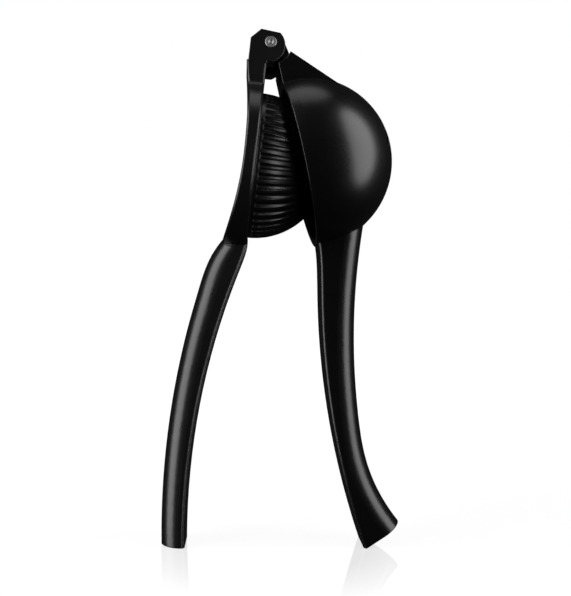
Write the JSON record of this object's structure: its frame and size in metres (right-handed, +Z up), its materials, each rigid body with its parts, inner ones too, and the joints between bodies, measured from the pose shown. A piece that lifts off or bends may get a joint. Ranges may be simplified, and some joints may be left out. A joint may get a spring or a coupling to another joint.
{
  "type": "hinged lemon squeezer",
  "caption": "Hinged hand squeezer for lemon halves: a fluted plunger on a round plate presses the fruit into a drained bowl, both on long curved handles.",
  "frame": {"origin": "on the floor, under the middle of the squeezer as it stands half open on the ends of its handles", "axes": "+Z up from the handles' ends to the hinge, +X from the plunger's handle to the bowl's handle, +Y along the hinge pin"},
  "size_m": [0.1014, 0.072, 0.216],
  "materials": {
    "arms": "satin black powder coat on cast aluminium",
    "pin": "bare drawn steel"
  },
  "bodies": {
    "plunger_arm": {"plunger_arm": "arms", "hinge_pin": "pin"},
    "bowl_arm": {"bowl_arm": "arms"}
  },
  "joints": [
    {"name": "hinge", "type": "hinge", "parent": "plunger_arm", "child": "bowl_arm", "pos_m": [-0.00415, 0, 0.2106], "axis": [0, 1, 0], "range_deg": [-120, 18.8]}
  ]
}
